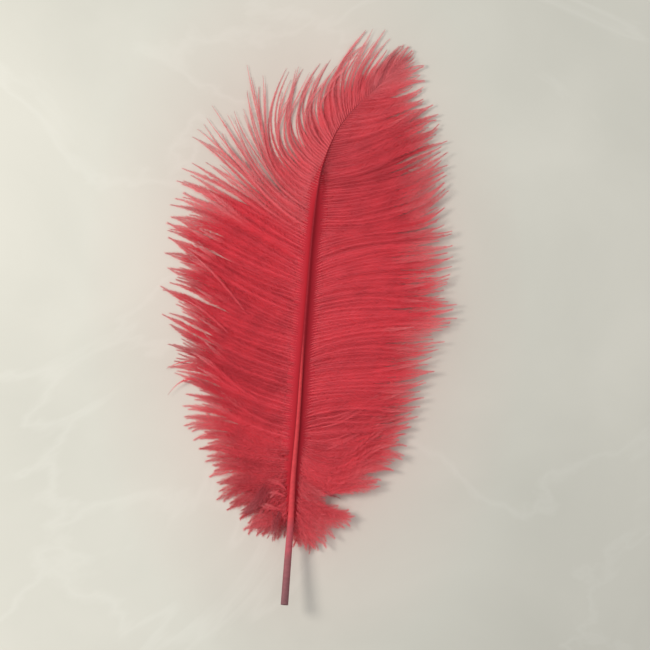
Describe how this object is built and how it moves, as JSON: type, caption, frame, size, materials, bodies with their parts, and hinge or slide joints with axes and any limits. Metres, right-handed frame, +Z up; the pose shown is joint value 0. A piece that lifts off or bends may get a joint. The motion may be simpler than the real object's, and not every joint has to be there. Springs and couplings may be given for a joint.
{
  "type": "ostrich feather",
  "caption": "Dyed ostrich feather lying flat: a bare cut quill, a thin curved shaft and two broad vanes of soft locks that part into loose tips.",
  "frame": {"origin": "on the surface that the feather lies on, under the middle of its bounding box", "axes": "+Y from the cut quill end towards the tip, +Z up from the surface, +X to the right seen from above"},
  "size_m": [0.1486, 0.2896, 0.0149],
  "materials": {
    "vane": "soft dyed-red barbs and barbules, matt, paler and see-through towards their tips",
    "shaft": "smooth dyed keratin with a soft sheen, duller and purplish towards the cut quill end"
  },
  "bodies": {
    "root": {"feather": "vane"}
  },
  "joints": []
}
